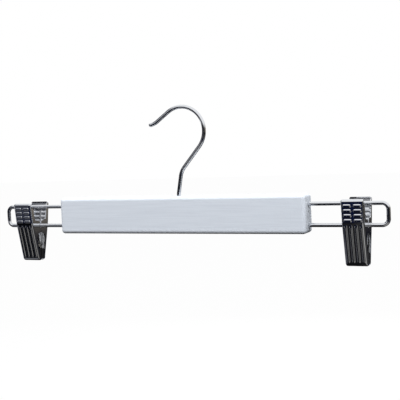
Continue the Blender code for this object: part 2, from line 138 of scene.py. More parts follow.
def add_node(
    tree: NodeTree, kind: str, links: dict[str | int, Any] | None = None, **settings: Any
) -> Node:
    """Add a node to a tree with its settings and its links.

    Args:
        tree: the node tree that gets the node.
        kind: the node's type, as Blender names it after ShaderNode.
        links: for each input, by name or number, an output socket to link or a value to set.
        settings: the node's own properties.

    Returns:
        The node.
    """
    node = tree.nodes.new(f"ShaderNode{kind}")
    for name, value in settings.items():
        setattr(node, name, value)
    for name, source in (links or {}).items():
        if isinstance(source, NodeSocket):
            tree.links.new(source, node.inputs[name])
        else:
            node.inputs[name].default_value = source
    return node


def start_material(name: str) -> tuple[Material, NodeTree]:
    """Start a material with an empty node tree.

    Args:
        name: the material's name.

    Returns:
        The material and its node tree.
    """
    material = bpy.data.materials.new(name)
    material.use_nodes = True
    material.node_tree.nodes.clear()
    return material, material.node_tree


class Texture(Enum):
    """A texture for a pattern, as its node's kind and the socket that holds its value."""

    NOISE = ("TexNoise", "Fac")
    CRYSTALS = ("TexVoronoi", "Distance")


@dataclass(frozen=True)
class Pattern:
    """A pattern on a surface, whose grain has a real size along X, Y and Z.

    Of the texture's values, those in the span called part are spread over the span called gives.
    """

    grain: Corner
    detail: float
    part: Span = (0.0, 1.0)
    gives: Span = (0.0, 1.0)
    distortion: float = 0.0
    texture: Texture = Texture.NOISE

    def draw(self, tree: NodeTree) -> NodeSocket:
        """Draw the pattern on Object coordinates.

        Args:
            tree: the material's node tree.

        Returns:
            The socket of the pattern's value.
        """
        kind, value = self.texture.value
        place = add_node(tree, "TexCoord").outputs["Object"]
        scale = [1 / size for size in self.grain]
        grains = add_node(tree, "Mapping", {"Vector": place, "Scale": scale}).outputs["Vector"]
        links = {"Vector": grains, "Scale": 1.0, "Detail": self.detail}
        if self.distortion:
            links["Distortion"] = self.distortion
        drawn = add_node(tree, kind, links).outputs[value]
        if self.part == self.gives:
            return drawn
        (start, end), (low, high) = self.part, self.gives
        links = {"Value": drawn, "From Min": start, "From Max": end, "To Min": low, "To Max": high}
        return add_node(tree, "MapRange", links).outputs["Result"]


@dataclass(frozen=True)
class Finish:
    """A surface finish, made once as a material and shared by the pieces that have it.

    A haze gives its roughness a pattern, a tint mixes a shade into its colour, and each relief is a
    pattern with its height in metres.
    """

    label: str
    slot: str
    colour: str
    roughness: float
    metallic: float
    haze: Pattern | None = None
    reliefs: tuple[tuple[Pattern, float], ...] = ()
    tint: Pattern | None = None
    shade: str = ""

    def material(self) -> Material:
        """Give this finish's material, which is made at its first use.

        Returns:
            The material.
        """
        made = bpy.data.materials.get(self.label)
        if made is None:
            made, tree = start_material(self.label)
            look = {"Roughness": self.roughness, "Metallic": self.metallic}
            shader = add_node(tree, "BsdfPrincipled", {"Base Color": linear(self.colour), **look})
            add_node(tree, "OutputMaterial", {"Surface": shader.outputs["BSDF"]})
            self.add_patterns(tree, shader)
        return made

    def add_patterns(self, tree: NodeTree, shader: Node) -> None:
        """Add the haze, the tint and the reliefs.

        Args:
            tree: the material's node tree.
            shader: its Principled shader.
        """
        if self.haze:
            tree.links.new(self.haze.draw(tree), shader.inputs["Roughness"])
        if self.tint:
            colours = {MIX_FIRST: linear(self.colour), MIX_LAST: linear(self.shade)}
            mixed = add_node(tree, "Mix", {MIX_SHARE: self.tint.draw(tree), **colours}, data_type="RGBA")
            tree.links.new(mixed.outputs[MIX_RESULT], shader.inputs["Base Color"])
        below: dict[str, NodeSocket] = {}
        for pattern, height in self.reliefs:
            relief = {"Height": pattern.draw(tree), "Distance": height, "Strength": 1.0, **below}
            below["Normal"] = add_node(tree, "Bump", relief).outputs["Normal"]
            tree.links.new(below["Normal"], shader.inputs["Normal"])


def chrome_plate(label: str, roughness: float, wiped: float = 0.07) -> Finish:
    """Plate polished metal with chromium, with slow waves and a haze where hands have wiped it.

    Args:
        label: the material's name.
        roughness: the roughness of the clean metal.
        wiped: how much rougher it is where it has been wiped most.

    Returns:
        The finish.
    """
    haze = Pattern((7 * MM, 7 * MM, 7 * MM), 3.0, part=(0.35, 0.75), gives=(roughness, roughness + wiped))
    waves = Pattern((2.2 * MM, 2.2 * MM, 2.2 * MM), 1.0)
    return Finish(label, "chrome", "#E0E2E6", roughness, 1.0, haze, ((waves, 0.004 * MM),))


# Chromium on polished pressed sheet: a near mirror, in which dark ground and bright sky meet sharply
CHROME = chrome_plate("bright_chrome_plate", 0.05)
# Chromium on drawn wire, whose die marks soften the bright and dark lines along it
DRAWN_CHROME = chrome_plate("chrome_on_drawn_wire", 0.11)
# Nickel-plated rolled strip: a warmer and duller metal, with a sheen across its lines. Real lines are
# about 0.02 mm wide, so they are drawn coarser to show.
ROLLING_LINES = Pattern((0.12 * MM, 9 * MM, 9 * MM), 2.0)
SPRING_STEEL = Finish(
    "nickel_plated_spring_strip",
    "spring_steel",
    "#CFCDC8",
    0.18,
    1.0,
    haze=replace(ROLLING_LINES, part=(0.3, 0.7), gives=(0.13, 0.26)),
    reliefs=((ROLLING_LINES, 0.003 * MM),),
)
# White pigmented lacquer sprayed on beech: a cool satin white, with the fibres as faint streaks, sunk
# pores and the spray's peel. Real pores are about 0.1 mm wide, so they are drawn coarser to show.
PORES = Pattern((3.2 * MM, 0.28 * MM, 0.28 * MM), 2.0, part=(0.55, 0.75), gives=(1.0, 0.0))
ORANGE_PEEL = Pattern((1.1 * MM, 1.1 * MM, 1.1 * MM), 1.0)
LACQUER = Finish(
    "white_sprayed_lacquer_on_beech",
    "lacquered_wood",
    "#E3EAF4",
    0.38,
    0.0,
    reliefs=((PORES, 0.012 * MM), (ORANGE_PEEL, 0.010 * MM)),
    tint=Pattern((38 * MM, 1.1 * MM, 1.1 * MM), 4.0, (0.4, 0.72), (0.0, 0.55), distortion=0.4),
    shade="#D6DDE8",
)
# Rubber from a blasted mould: matt and nearly black, with a dusty bloom and no clear highlight. Real
# grit is about 0.05 mm, so it is drawn coarser to show.
RUBBER = Finish(
    "black_moulded_rubber",
    "rubber",
    "#17171A",
    0.6,
    0.0,
    haze=Pattern((4 * MM, 4 * MM, 4 * MM), 3.0, gives=(0.5, 0.75)),
    reliefs=((Pattern((0.22 * MM, 0.22 * MM, 0.22 * MM), 2.0), 0.02 * MM),),
)
# Passivated zinc on a pressed washer: a soft grey metal, much duller than the chrome. Real crystals
# are about 0.1 mm, so they are drawn coarser to show.
CRYSTALS = Pattern((0.5 * MM, 0.5 * MM, 0.5 * MM), 0.0, gives=(0.26, 0.44), texture=Texture.CRYSTALS)
ZINC = Finish("passivated_zinc_plate", "zinc", "#B9BBC0", 0.34, 1.0, haze=CRYSTALS)


def to_mesh(shape: BMesh, name: str, outwards: bool = True) -> Mesh:
    """Turn a shape into a mesh, and free the shape.

    Args:
        shape: the shape.
        name: the mesh's name.
        outwards: whether its faces are first turned outwards, as a closed shape's should be.

    Returns:
        The mesh.
    """
    if outwards:
        bmesh.ops.recalc_face_normals(shape, faces=shape.faces)
    mesh = bpy.data.meshes.new(name)
    shape.to_mesh(mesh)
    shape.free()
    return mesh


def add_object(name: str, data: ID) -> Object:
    """Put an object into the scene.

    Args:
        name: the object's name.
        data: its mesh, lamp or camera.

    Returns:
        The object.
    """
    added = bpy.data.objects.new(name, data)
    bpy.context.scene.collection.objects.link(added)
    return added


def verts_of(geometry: Sequence[Any]) -> list[BMVert]:
    """Return the vertices among an operator's results."""
    return [item for item in geometry if isinstance(item, BMVert)]


def finish_piece(
    shape: BMesh | Mesh,
    name: str,
    finish: Finish,
    nodes: Sequence[str],
    body: str | None = None,
) -> Object:
    """Make a piece of the object from its shape, with smooth faces, sharp folds and its finish.

    Args:
        shape: the piece's faces, in place.
        name: the piece's name.
        finish: its finish.
        nodes: the part's nodes that it stands for.
        body: the body that it rides on, or None where it is attached to none.

    Returns:
        The piece.
    """
    mesh = to_mesh(shape, name) if isinstance(shape, BMesh) else shape
    mesh.shade_smooth()
    mesh.set_sharp_from_angle(angle=SHARP_ANGLE)
    mesh.materials.clear()
    mesh.materials.append(finish.material())
    piece = add_object(name, mesh)
    weighted = piece.modifiers.new("flat faces stay flat", "WEIGHTED_NORMAL")
    weighted.keep_sharp = True
    weighted.weight = FLAT_WEIGHT
    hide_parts(*nodes)
    if body:
        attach(piece, body)
    LOG.info("%s: %d faces on %s", name, len(mesh.polygons), body or "two bodies")
    return piece


def carve(shape: BMesh, tools: Sequence[tuple[BMesh, Work]]) -> Mesh:
    """Join tools to a shape or cut them from it.

    Args:
        shape: the shape to work on.
        tools: each tool with what it does.

    Returns:
        The finished mesh.
    """
    helpers = []
    for number, source in enumerate([shape, *(tool for tool, _ in tools)]):
        name = f"helper_{number}"
        helpers.append(add_object(name, to_mesh(source, name)))
    for helper, (_, work) in zip(helpers[1:], tools):
        modifier = helpers[0].modifiers.new(helper.name, "BOOLEAN")
        modifier.object = helper
        modifier.operation = work.value
        modifier.solver = "EXACT"
    depsgraph = bpy.context.evaluated_depsgraph_get()
    carved = bpy.data.meshes.new_from_object(helpers[0].evaluated_get(depsgraph))
    for helper in helpers:
        mesh = helper.data
        bpy.data.objects.remove(helper)
        bpy.data.meshes.remove(mesh)
    return carved


@dataclass
class Bender:
    """Bends stock in a plane, by extruding and spinning the end ring of its section.

    A heading of 0 runs along up, and a positive turn leads to the side.
    """

    place: Vector
    heading: float
    up: Vector = field(default_factory=lambda: Vector((0, 0, 1)))
    aside: Vector = field(default_factory=lambda: Vector((1, 0, 0)))
    arc_step: float = math.radians(3)
    mesh: BMesh = field(default_factory=bmesh.new)
    ring: list[BMEdge] = field(default_factory=list)

    def along(self, turn: float = 0.0) -> Vector:
        """Return the direction of travel, turned by an angle."""
        angle = self.heading + turn
        return self.up * math.cos(angle) + self.aside * math.sin(angle)

    def start(self) -> Matrix:
        """Find where the stock starts.

        Returns:
            The matrix that brings a section drawn in X and Y there.
        """
        across = self.up.cross(self.aside)
        turn = Matrix((across.cross(self.along()), across, self.along())).transposed()
        return Matrix.Translation(self.place) @ turn.to_4x4()

    def round_section(self, diameter: float, sides: int = 48) -> "Bender":
        """Start round wire with a flat end.

        Args:
            diameter: the wire's diameter.
            sides: the number of facets round it.

        Returns:
            The bender, to go on with.
        """
        bmesh.ops.create_circle(
            self.mesh, cap_ends=True, segments=sides, radius=diameter / 2, matrix=self.start()
        )
        self.ring = self.mesh.edges[:]
        return self

    def flat_section(self, width: float, thickness: float, edge: float) -> "Bender":
        """Start strip with rounded edges.

        Args:
            width: the strip's width, square to the plane of bending.
            thickness: its thickness.
            edge: how far its edges are rounded.

        Returns:
            The bender, to go on with.
        """
        size = Matrix.Diagonal((thickness, width, 1, 1))
        bmesh.ops.create_grid(self.mesh, x_segments=1, y_segments=1, size=0.5, matrix=self.start() @ size)
        corners = self.mesh.verts[:]
        bmesh.ops.bevel(
            self.mesh, geom=corners, offset=edge, segments=3, profile=0.5, affect="VERTICES", material=-1
        )
        self.ring = self.mesh.edges[:]
        return self

    def straight(self, length: float, swell: float = 1.0) -> "Bender":
        """Run straight on.

        Args:
            length: how far.
            swell: the factor by which the end's section is then scaled.

        Returns:
            The bender, to go on with.
        """
        verts = verts_of(bmesh.ops.extrude_edge_only(self.mesh, edges=self.ring)["geom"])
        step = self.along() * length
        bmesh.ops.translate(self.mesh, verts=verts, vec=step)
        self.place = self.place + step
        if swell != 1.0:
            centre = Matrix.Translation(-self.place)
            bmesh.ops.scale(self.mesh, verts=verts, vec=(swell, swell, swell), space=centre)
        ends = set(verts)
        self.ring = [edge for edge in self.mesh.edges if ends.issuperset(edge.verts)]
        return self

    def bend(self, radius: float, turn: float) -> "Bender":
        """Bend the stock.

        Args:
            radius: the bend's radius, to the stock's middle.
            turn: the bend's angle, to the side where positive.

        Returns:
            The bender, to go on with.
        """
        quarter = math.copysign(math.pi / 2, turn)
        centre = self.place + self.along(quarter) * radius
        verts = list({vert for edge in self.ring for vert in edge.verts})
        steps = max(2, math.ceil(abs(turn) / self.arc_step))
        arc = {"cent": centre, "axis": self.up.cross(self.aside), "angle": turn, "steps": steps}
        spun = bmesh.ops.spin(self.mesh, geom=verts + self.ring, use_merge=False, **arc)
        self.ring = [item for item in spun["geom_last"] if isinstance(item, BMEdge)]
        self.place = centre - self.along(quarter + turn) * radius
        self.heading += turn
        return self

    def follow(self, moves: Sequence[Sequence[float]]) -> "Bender":
        """Follow a list of moves.

        Args:
            moves: each a length to run straight on, or a bend's radius and turn.

        Returns:
            The bender, to go on with.
        """
        for move in moves:
            go = self.straight if len(move) == 1 else self.bend
            go(*move)
        return self

    def dome(self, radius: float, reach: float = math.radians(84), steps: int = 6) -> "Bender":
        """Round the end off with a ball's cap.

        Args:
            radius: the ball's radius.
            reach: the angle that the cap reaches, short of its pole.
            steps: the number of rings in the cap.

        Returns:
            The bender, its end closed.
        """
        last = 0.0
        for step in range(1, steps + 1):
            angle = reach * step / steps
            self.straight(radius * (math.sin(angle) - math.sin(last)), math.cos(angle) / math.cos(last))
            last = angle
        return self.close()

    def close(self) -> "Bender":
        """Close the end with a flat face."""
        bmesh.ops.edgeloop_fill(self.mesh, edges=self.ring)
        return self


def round_corners(
    corners: Sequence[Corner], closed: bool = True, step: float = math.radians(7)
) -> list[Point]:
    """Round the corners of an outline.

    Args:
        corners: each corner's two coordinates and its radius, 0 where it is sharp.
        closed: whether the outline returns to its first corner.
        step: the angle between points on a rounding.

    Returns:
        The outline's points.
    """
    outline: list[Point] = []
    for index, (u, v, radius) in enumerate(corners):
        is_end = not closed and index in (0, len(corners) - 1)
        if radius <= 0 or is_end:
            outline.append((u, v))
            continue
        here = Vector((u, v))
        to_last = (Vector(corners[index - 1][:2]) - here).normalized()
        to_next = (Vector(corners[(index + 1) % len(corners)][:2]) - here).normalized()
        half = to_last.angle(to_next) / 2
        centre = here + (to_last + to_next).normalized() * radius / math.sin(half)
        first = here + to_last * radius / math.tan(half) - centre
        last = here + to_next * radius / math.tan(half) - centre
        sweep = -first.angle_signed(last)
        steps = max(2, math.ceil(abs(sweep) / step))
        for number in range(steps + 1):
            arm = first.copy()
            arm.rotate(Matrix.Rotation(sweep * number / steps, 2))
            outline.append(tuple(centre + arm))
    return outline


def shift_path(path: Sequence[Point], distance: float) -> list[Point]:
    """Shift an open path sideways.

    Args:
        path: its points.
        distance: how far, to the path's left where positive.

    Returns:
        The shifted points.
    """
    shifted = []
    for index, point in enumerate(path):
        here = Vector(point)
        leaving = (Vector(path[min(index + 1, len(path) - 1)]) - here).normalized()
        arriving = (here - Vector(path[max(index - 1, 0)])).normalized()
        along = (arriving + leaving).normalized()
        stretch = distance / max(along.dot(leaving), along.dot(arriving))
        shifted.append((here.x - along.y * stretch, here.y + along.x * stretch))
    return shifted


def prism(
    outline: Sequence[Point],
    half_width: float,
    folds: Sequence[Point] = (),
    radius: float = 0.0,
    segments: int = 5,
) -> BMesh:
    """Extrude an outline in Y and Z to both sides along X.

    Args:
        outline: the outline's points.
        half_width: how far it reaches along X to each side.
        folds: the outline's points whose edges are rounded.
        radius: the radius of that rounding.
        segments: the number of its facets.

    Returns:
        The closed shape.
    """
    shape = bmesh.new()
    face = shape.faces.new([shape.verts.new((-half_width, y, z)) for y, z in outline])
    moved = verts_of(bmesh.ops.extrude_face_region(shape, geom=[face])["geom"])
    bmesh.ops.translate(shape, verts=moved, vec=(2 * half_width, 0, 0))
    bmesh.ops.recalc_face_normals(shape, faces=shape.faces)
    digits = 7
    keys = {(round(y, digits), round(z, digits)) for y, z in folds}
    on_fold = {vert for vert in shape.verts if (round(vert.co.y, digits), round(vert.co.z, digits)) in keys}
    edges = [
        edge
        for edge in shape.edges
        if on_fold.issuperset(edge.verts) and edge.verts[0].co.x * edge.verts[1].co.x > 0
    ]
    if edges:
        bmesh.ops.bevel(
            shape, geom=edges, offset=radius, segments=segments, profile=0.5, affect="EDGES", material=-1
        )
    return shape


def turn_profile(
    shape: BMesh, profile: Sequence[Point], axis: Vector, closed: bool = False, sides: int = 64
) -> None:
    """Turn a profile about an upright axis.

    Args:
        shape: the mesh that gets the turned faces.
        profile: points as a radius and a height.
        axis: a point on the axis.
        closed: whether the profile is a closed ring.
        sides: the number of facets round the axis.
    """
    verts = [shape.verts.new((axis.x + radius, axis.y, height)) for radius, height in profile]
    edges = [shape.edges.new(pair) for pair in zip(verts, verts[1:])]
    if closed:
        edges.append(shape.edges.new((verts[-1], verts[0])))
    bmesh.ops.spin(
        shape, geom=verts + edges, cent=axis, axis=(0, 0, 1), angle=math.tau, steps=sides, use_merge=True
    )
    bmesh.ops.remove_doubles(shape, verts=shape.verts, dist=SAME_PLACE)


@dataclass
class Bar:
    """The lacquered wooden bar, bored at its ends for the wires and upright for the hook."""

    edge: float = 3.0 * MM
    edge_facets: int = 10
    wire_rises: Span = (7.8 * MM, -9.2 * MM)
    wire_depth: float = 26.3 * MM
    counterbore: float = 10.0 * MM
    counterbore_depth: float = 6.2 * MM
    drill_sides: int = 40
    low: Vector = field(init=False)
    high: Vector = field(init=False)
    centre: Vector = field(init=False)

    def __post_init__(self) -> None:
        """Take the bar's place from the part."""
        self.low, self.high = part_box("wooden_bar")
        self.centre = (self.low + self.high) / 2

    def build(self) -> None:
        """Build the bar with soft edges and its bores."""
        block = bmesh.new()
        size = Matrix.Diagonal((*(self.high - self.low), 1))
        bmesh.ops.create_cube(block, size=1.0, matrix=Matrix.Translation(self.centre) @ size)
        edges = block.edges[:]
        facets = self.edge_facets
        bmesh.ops.bevel(
            block, geom=edges, offset=self.edge, segments=facets, profile=0.5, affect="EDGES", material=-1
        )
        mesh = carve(block, [(self.wire_drills(), Work.CUT), (self.hook_drill(), Work.CUT)])
        finish_piece(mesh, "lacquered_bar", LACQUER, ["wooden_bar"], "bar_body")

    def wire_drills(self) -> BMesh:
        """Shape the tool that bores the four holes for the wires.

        Returns:
            The tool's shape.
        """
        shape = bmesh.new()
        length = self.wire_depth + OVERSHOOT
        radius = WIRE_HOLE / 2
        drill = {"segments": self.drill_sides, "radius1": radius, "radius2": radius, "depth": length}
        for end, inward in ((self.low.x, 1), (self.high.x, -1)):
            for rise in self.wire_rises:
                middle = end + inward * (self.wire_depth - length / 2)
                place = Matrix.Translation((middle, self.centre.y, self.centre.z + rise))
                level = place @ Matrix.Rotation(math.pi / 2, 4, "Y")
                bmesh.ops.create_cone(shape, cap_ends=True, matrix=level, **drill)
        return shape

    def hook_drill(self) -> BMesh:
        """Shape the tool that bores and counterbores the hook's hole, turned about the stem.

        Returns:
            The tool's shape.
        """
        shape = bmesh.new()
        ceiling = self.low.z + self.counterbore_depth
        above = self.high.z + OVERSHOOT
        below = self.low.z - OVERSHOOT
        bore = ((0, above), (WIRE_HOLE / 2, above), (WIRE_HOLE / 2, ceiling))
        counterbore = ((self.counterbore / 2, ceiling), (self.counterbore / 2, below), (0, below))
        turn_profile(shape, bore + counterbore, self.centre)
        return shape


@dataclass
class Hook:
    """The hook, one bent wire that turns in the bar on its upset head."""

    bar: Bar
    head: float = 6.4 * MM
    head_face: float = 5.12 * MM
    head_shoulder: float = 5.76 * MM
    head_depth: float = 2.0 * MM
    head_chamfer: float = 0.4 * MM
    # From the bar's top: the stem's kink, the neck, the bowl and the tip
    moves: Sequence[Sequence[float]] = (
        (16.0 * MM, math.radians(10.3)),
        (13.8 * MM,),
        (16.2 * MM, math.radians(30.5)),
        (22.0 * MM,),
        (20.5 * MM, math.radians(-166.3)),
        (12.9 * MM,),
        (15.0 * MM, math.radians(26.6)),
    )

    def build(self) -> None:
        """Build the hook and the washer under its head."""
        low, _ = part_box("hook")
        axis = Vector((self.bar.centre.x, 0, 0))
        bender = Bender(axis + Vector((0, 0, low.z)), 0.0).round_section(self.head_face)
        bender.straight(self.head_chamfer, self.head / self.head_face)
        bender.straight(self.head_depth - 2 * self.head_chamfer)
        bender.straight(self.head_chamfer, self.head_shoulder / self.head)
        bender.straight(self.head_chamfer / 2, WIRE / self.head_shoulder)
        bender.straight(self.bar.high.z - bender.place.z)
        bender.follow(self.moves).dome(WIRE / 2)
        finish_piece(bender.mesh, "wire_hook", DRAWN_CHROME, ["hook"], "hook_body")
        self.build_washer(axis)

    def build_washer(self, axis: Vector) -> None:
        """Build the washer, with the rolled rim of a pressed one.

        Args:
            axis: a point on the stem's axis.
        """
        low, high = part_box("hook_washer")
        bore = WIRE_HOLE / 2
        rim = (high.x - low.x) / 2
        roll = (high.z - low.z) / 4
        corners = ((bore, low.z, roll), (rim, low.z, roll), (rim, high.z, roll), (bore, high.z, roll))
        shape = bmesh.new()
        turn_profile(shape, round_corners(corners, step=math.radians(30)), axis, closed=True)
        finish_piece(shape, "pressed_washer", ZINC, ["hook_washer"], "bar_body")


@dataclass
class WireLoop:
    """A wire loop at one end of the bar, which a clip slides on."""

    side: Side
    corner: float = 4.8 * MM

    def build(self) -> None:
        """Bend the loop from the upper leg's seat round to the lower leg's."""
        node = f"{self.side.word}_wire_loop"
        low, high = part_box(node)
        upper = high.z - WIRE / 2
        lower = low.z + WIRE / 2
        seat = low.x if self.side is Side.RIGHT else high.x
        leg = (high.x - low.x - WIRE / 2 - self.corner,)
        quarter = self.side.value * math.pi / 2
        turn = (self.corner, quarter)
        bender = Bender(Vector((seat, 0, upper)), quarter).round_section(WIRE)
        bender.follow((leg, turn, (upper - lower - 2 * self.corner,), turn, leg)).close()
        finish_piece(bender.mesh, f"{self.side.word}_chrome_loop", DRAWN_CHROME, [node], "bar_body")


def ease(share: float) -> float:
    """Rise smoothly from 0 to 1 as a share does, and stay level beyond."""
    share = min(max(share, 0.0), 1.0)
    return share * share * (3 - 2 * share)


@dataclass(frozen=True)
class Emboss:
    """A raised stadium pressed into a jaw's plate: a grip bump or a rib."""

    radius: float
    wall: float
    height: float
    fade: float = 0.0
    x: float = 0.0
    along: float = 0.0
    straight_x: float = 0.0
    straight_along: float = 0.0

    def raise_at(self, x: float, along: float) -> float:
        """Give the plate's rise at a point.

        Args:
            x: the point's place across the jaw.
            along: its place along the plate.

        Returns:
            The rise in metres, 0 outside the stadium.
        """
        aside = max(abs(x - self.x) - self.straight_x, 0.0)
        onward = max(abs(along - self.along) - self.straight_along, 0.0)
        rise = self.height * ease((self.radius - math.hypot(aside, onward)) / self.wall)
        if self.fade:
            head = self.along + self.straight_along + self.radius
            rise *= ease((head - along) / self.fade)
        return rise


@dataclass
class Jaw:
    """A pressed and folded jaw: channel, lip, nose, ears on the lower wire, bumps, ribs and a lug.

    Its shape is made as a front jaw about the lower wire, with heights over that wire.
    """

    width: float = 17.8 * MM
    sheet: float = 0.8 * MM
    fold: float = 1.5 * MM
    top: float = 21.0 * MM
    foot: float = -31.7 * MM
    spread_top: float = 15.6 * MM
    spread_foot: float = 4.8 * MM
    bend_height: float = 2.7 * MM
    bend_bulge: float = 1.2 * MM
    bend_radius: float = 12.0 * MM
    lip: float = 3.0 * MM
    lip_radius: float = 1.2 * MM
    nose: float = 3.1 * MM
    nose_radius: float = 2.2 * MM
    opening: float = math.radians(15)
    half_gap: float = CLEARANCE / 2
    notch: float = WIRE_HOLE / 2
    notch_facets: int = 20
    lever_flange: float = 4.8 * MM
    lever_step: float = 1.4 * MM
    lever_arch: float = 2.8 * MM
    grip_flange: float = 4.0 * MM
    foot_flange: float = 2.4 * MM
    ear_top: float = 4.0 * MM
    ear_foot: float = -6.4 * MM
    ear_arch: float = 5.0 * MM
    ear_corner: float = 1.0 * MM
    bump: Emboss = Emboss(radius=1.35 * MM, wall=0.85 * MM, height=0.45 * MM)
    bump_rows: int = 4
    bump_pitch: float = 3.8 * MM
    bump_start: float = 5.0 * MM
    bump_aside: float = 0.6 * MM
    rib: Emboss = Emboss(radius=1.25 * MM, wall=0.7 * MM, height=0.6 * MM, fade=2.6 * MM)
    ribs: int = 4
    rib_top: float = 1.3 * MM
    rib_foot: float = 3.0 * MM
    lug_height: float = -18.6 * MM
    lug_width: float = 2.0 * MM
    lug_sheet: float = 0.6 * MM
    lug_drop: float = 1.6 * MM
    lug_slot: float = 1.1 * MM
    lug_fold: float = 0.1 * MM
    lug_edge: float = 0.15 * MM
    lug_bend: float = 0.4 * MM
    grid: int = 80

    @property
    def corners(self) -> tuple[Corner, ...]:
        """Place the sheet's corners on its outer face.

        Returns:
            The lip, the top, the bend, the foot and the nose, each with the radius of its rounding.
        """
        slope = (self.spread_top - self.spread_foot) / (self.top - self.foot)
        bend_y = -self.spread_foot - slope * (self.bend_height - self.foot) - self.bend_bulge
        return (
            (self.lip - self.spread_top, self.top, 0),
            (-self.spread_top, self.top, self.lip_radius + self.sheet),
            (bend_y, self.bend_height, self.bend_radius),
            (-self.spread_foot, self.foot, self.nose_radius + self.sheet),
            (self.nose - self.spread_foot, self.foot, 0),
        )

    @property
    def flat_half(self) -> float:
        """Give half the width of the flats between the side folds."""
        return self.width / 2 - self.fold

    def plate_y(self, z: float, depth: float = 0.0) -> float:
        """Find the sheet's place at a height.

        Args:
            z: the height over the lower wire.
            depth: how far behind the outer face.

        Returns:
            Y there.
        """
        _, top, bend, foot, _ = self.corners
        upper, lower = (top, bend) if z > bend[1] else (bend, foot)
        share = (upper[1] - z) / (upper[1] - lower[1])
        return upper[0] + share * (lower[0] - upper[0]) + depth

    def notch_arc(self) -> list[Corner]:
        """Shape the ear's half of the hole for the lower wire.

        Returns:
            Its points, from below the wire to above it.
        """
        clear = math.asin(self.half_gap / self.notch)
        start = 1.5 * math.pi - clear
        end = 0.5 * math.pi + self.opening + clear
        steps = self.notch_facets
        angles = [start + (end - start) * step / steps for step in range(steps + 1)]
        return [(self.notch * math.cos(angle), self.notch * math.sin(angle), 0) for angle in angles]

    def flange(self) -> list[Point]:
        """Shape the free edge of the side flange.

        Returns:
            Its points, from the nose up to the lip.
        """
        ear_y = -self.half_gap - self.ear_top * math.tan(self.opening)
        foot_bend = self.foot + self.sheet + self.nose_radius
        lever_foot = self.ear_top + self.lever_step
        lever_top = self.top - 2 * self.sheet - self.lip + self.lip_radius
        corners = (
            (self.nose - self.spread_foot, self.foot + 2 * self.sheet, 0),
            (self.plate_y(foot_bend, self.foot_flange), foot_bend, 0),
            (self.plate_y(self.ear_foot, self.grip_flange), self.ear_foot, self.ear_arch),
            (-self.half_gap, self.ear_foot, 0),
            *self.notch_arc(),
            (ear_y, self.ear_top, self.ear_corner),
            (self.plate_y(lever_foot, self.lever_flange), lever_foot, self.lever_arch),
            (self.plate_y(lever_top, self.lever_flange), lever_top, self.lever_arch),
            (self.lip - self.spread_top, self.top - 2 * self.sheet, 0),
        )
        return round_corners(corners, closed=False)

    def bumps(self, rise: float) -> list[Emboss]:
        """Place the grip bumps, in two columns down the lever.

        Args:
            rise: how much the lever rises for each metre along it.

        Returns:
            The bumps.
        """
        half_length = (self.flat_half - self.bump_aside) / 2
        start = self.top - self.bump_start - self.bend_height
        return [
            replace(
                self.bump,
                x=sign * (half_length + self.bump_aside),
                along=(start - row * self.bump_pitch) / rise,
                straight_x=half_length - self.bump.radius,
            )
            for row in range(self.bump_rows)
            for sign in (-1, 1)
        ]

    def long_ribs(self, rise: float) -> list[Emboss]:
        """Place the ribs side by side on the plate.

        Args:
            rise: how much the plate rises for each metre along it.

        Returns:
            The ribs.
        """
        low = self.foot + self.rib_foot
        pitch = 2 * (self.flat_half - self.rib.radius) / (self.ribs - 1)
        return [
            replace(
                self.rib,
                x=(rib - (self.ribs - 1) / 2) * pitch,
                along=((self.rib_top + low) / 2 - self.bend_height) / rise,
                straight_along=(self.rib_top - low) / rise / 2 - self.rib.radius,
            )
            for rib in range(self.ribs)
        ]

    def press(self, shape: BMesh) -> None:
        """Grid the two flats of a skin and press the bumps and ribs into them.

        Args:
            shape: the skin, the jaw's outer one or the one of its hollow.
        """
        _, top, bend, foot, _ = self.corners
        origin = Vector((0, bend[0], bend[1]))
        for far, sign, stamp in ((top, 1, self.bumps), (foot, -1, self.long_ribs)):
            up = Vector((0, far[0] - bend[0], far[1] - bend[1])).normalized() * sign
            out = Vector((0, -up.z, up.y))
            flats = [
                face
                for face in shape.faces
                if abs(face.normal.dot(out)) > FLAT_COSINE
                and (face.calc_center_median() - origin).dot(up) * sign > 0
            ]
            flat = max(flats, key=BMFace.calc_area)
            level = (flat.verts[0].co - origin).dot(out)
            bmesh.ops.subdivide_edges(shape, edges=flat.edges[:], cuts=self.grid, use_grid_fill=True)
            stamps = stamp(up.z)
            for vert in shape.verts:
                arm = vert.co - origin
                if abs(arm.dot(out) - level) < SAME_PLACE:
                    vert.co += out * max(emboss.raise_at(arm.x, arm.dot(up)) for emboss in stamps)

    def lug(self) -> BMesh:
        """Shape the lug that the spring's curl holds.

        Returns:
            The lug's shape.
        """
        end = self.lug_height - self.lug_drop
        root = self.plate_y(self.lug_height, self.sheet / 2)
        outer = self.plate_y(end, self.sheet) + self.lug_slot
        inner = outer + self.lug_sheet
        shelf = self.lug_height + self.lug_sheet
        corners = (
            (root, shelf, 0),
            (root, self.lug_height, 0),
            (outer, self.lug_height, self.lug_fold),
            (outer, end, self.lug_edge),
            (inner, end, self.lug_edge),
            (inner, shelf, self.lug_bend),
        )
        return prism(round_corners(corners), self.lug_width / 2)

    def mesh(self) -> Mesh:
        """Press, fold and trim one jaw about the lower wire.

        Returns:
            The jaw's mesh.
        """
        half = self.width / 2
        path = round_corners(self.corners, closed=False)
        inner = shift_path(path, self.sheet)
        blank = prism(path + self.flange(), half, path, self.fold)
        room = inner + [(self.spread_top, inner[-1][1]), (self.spread_top, inner[0][1])]
        hollow = prism(room, half - self.sheet, inner, self.fold - self.sheet)
        self.press(blank)
        self.press(hollow)
        return carve(blank, [(hollow, Work.CUT), (self.lug(), Work.JOIN)])


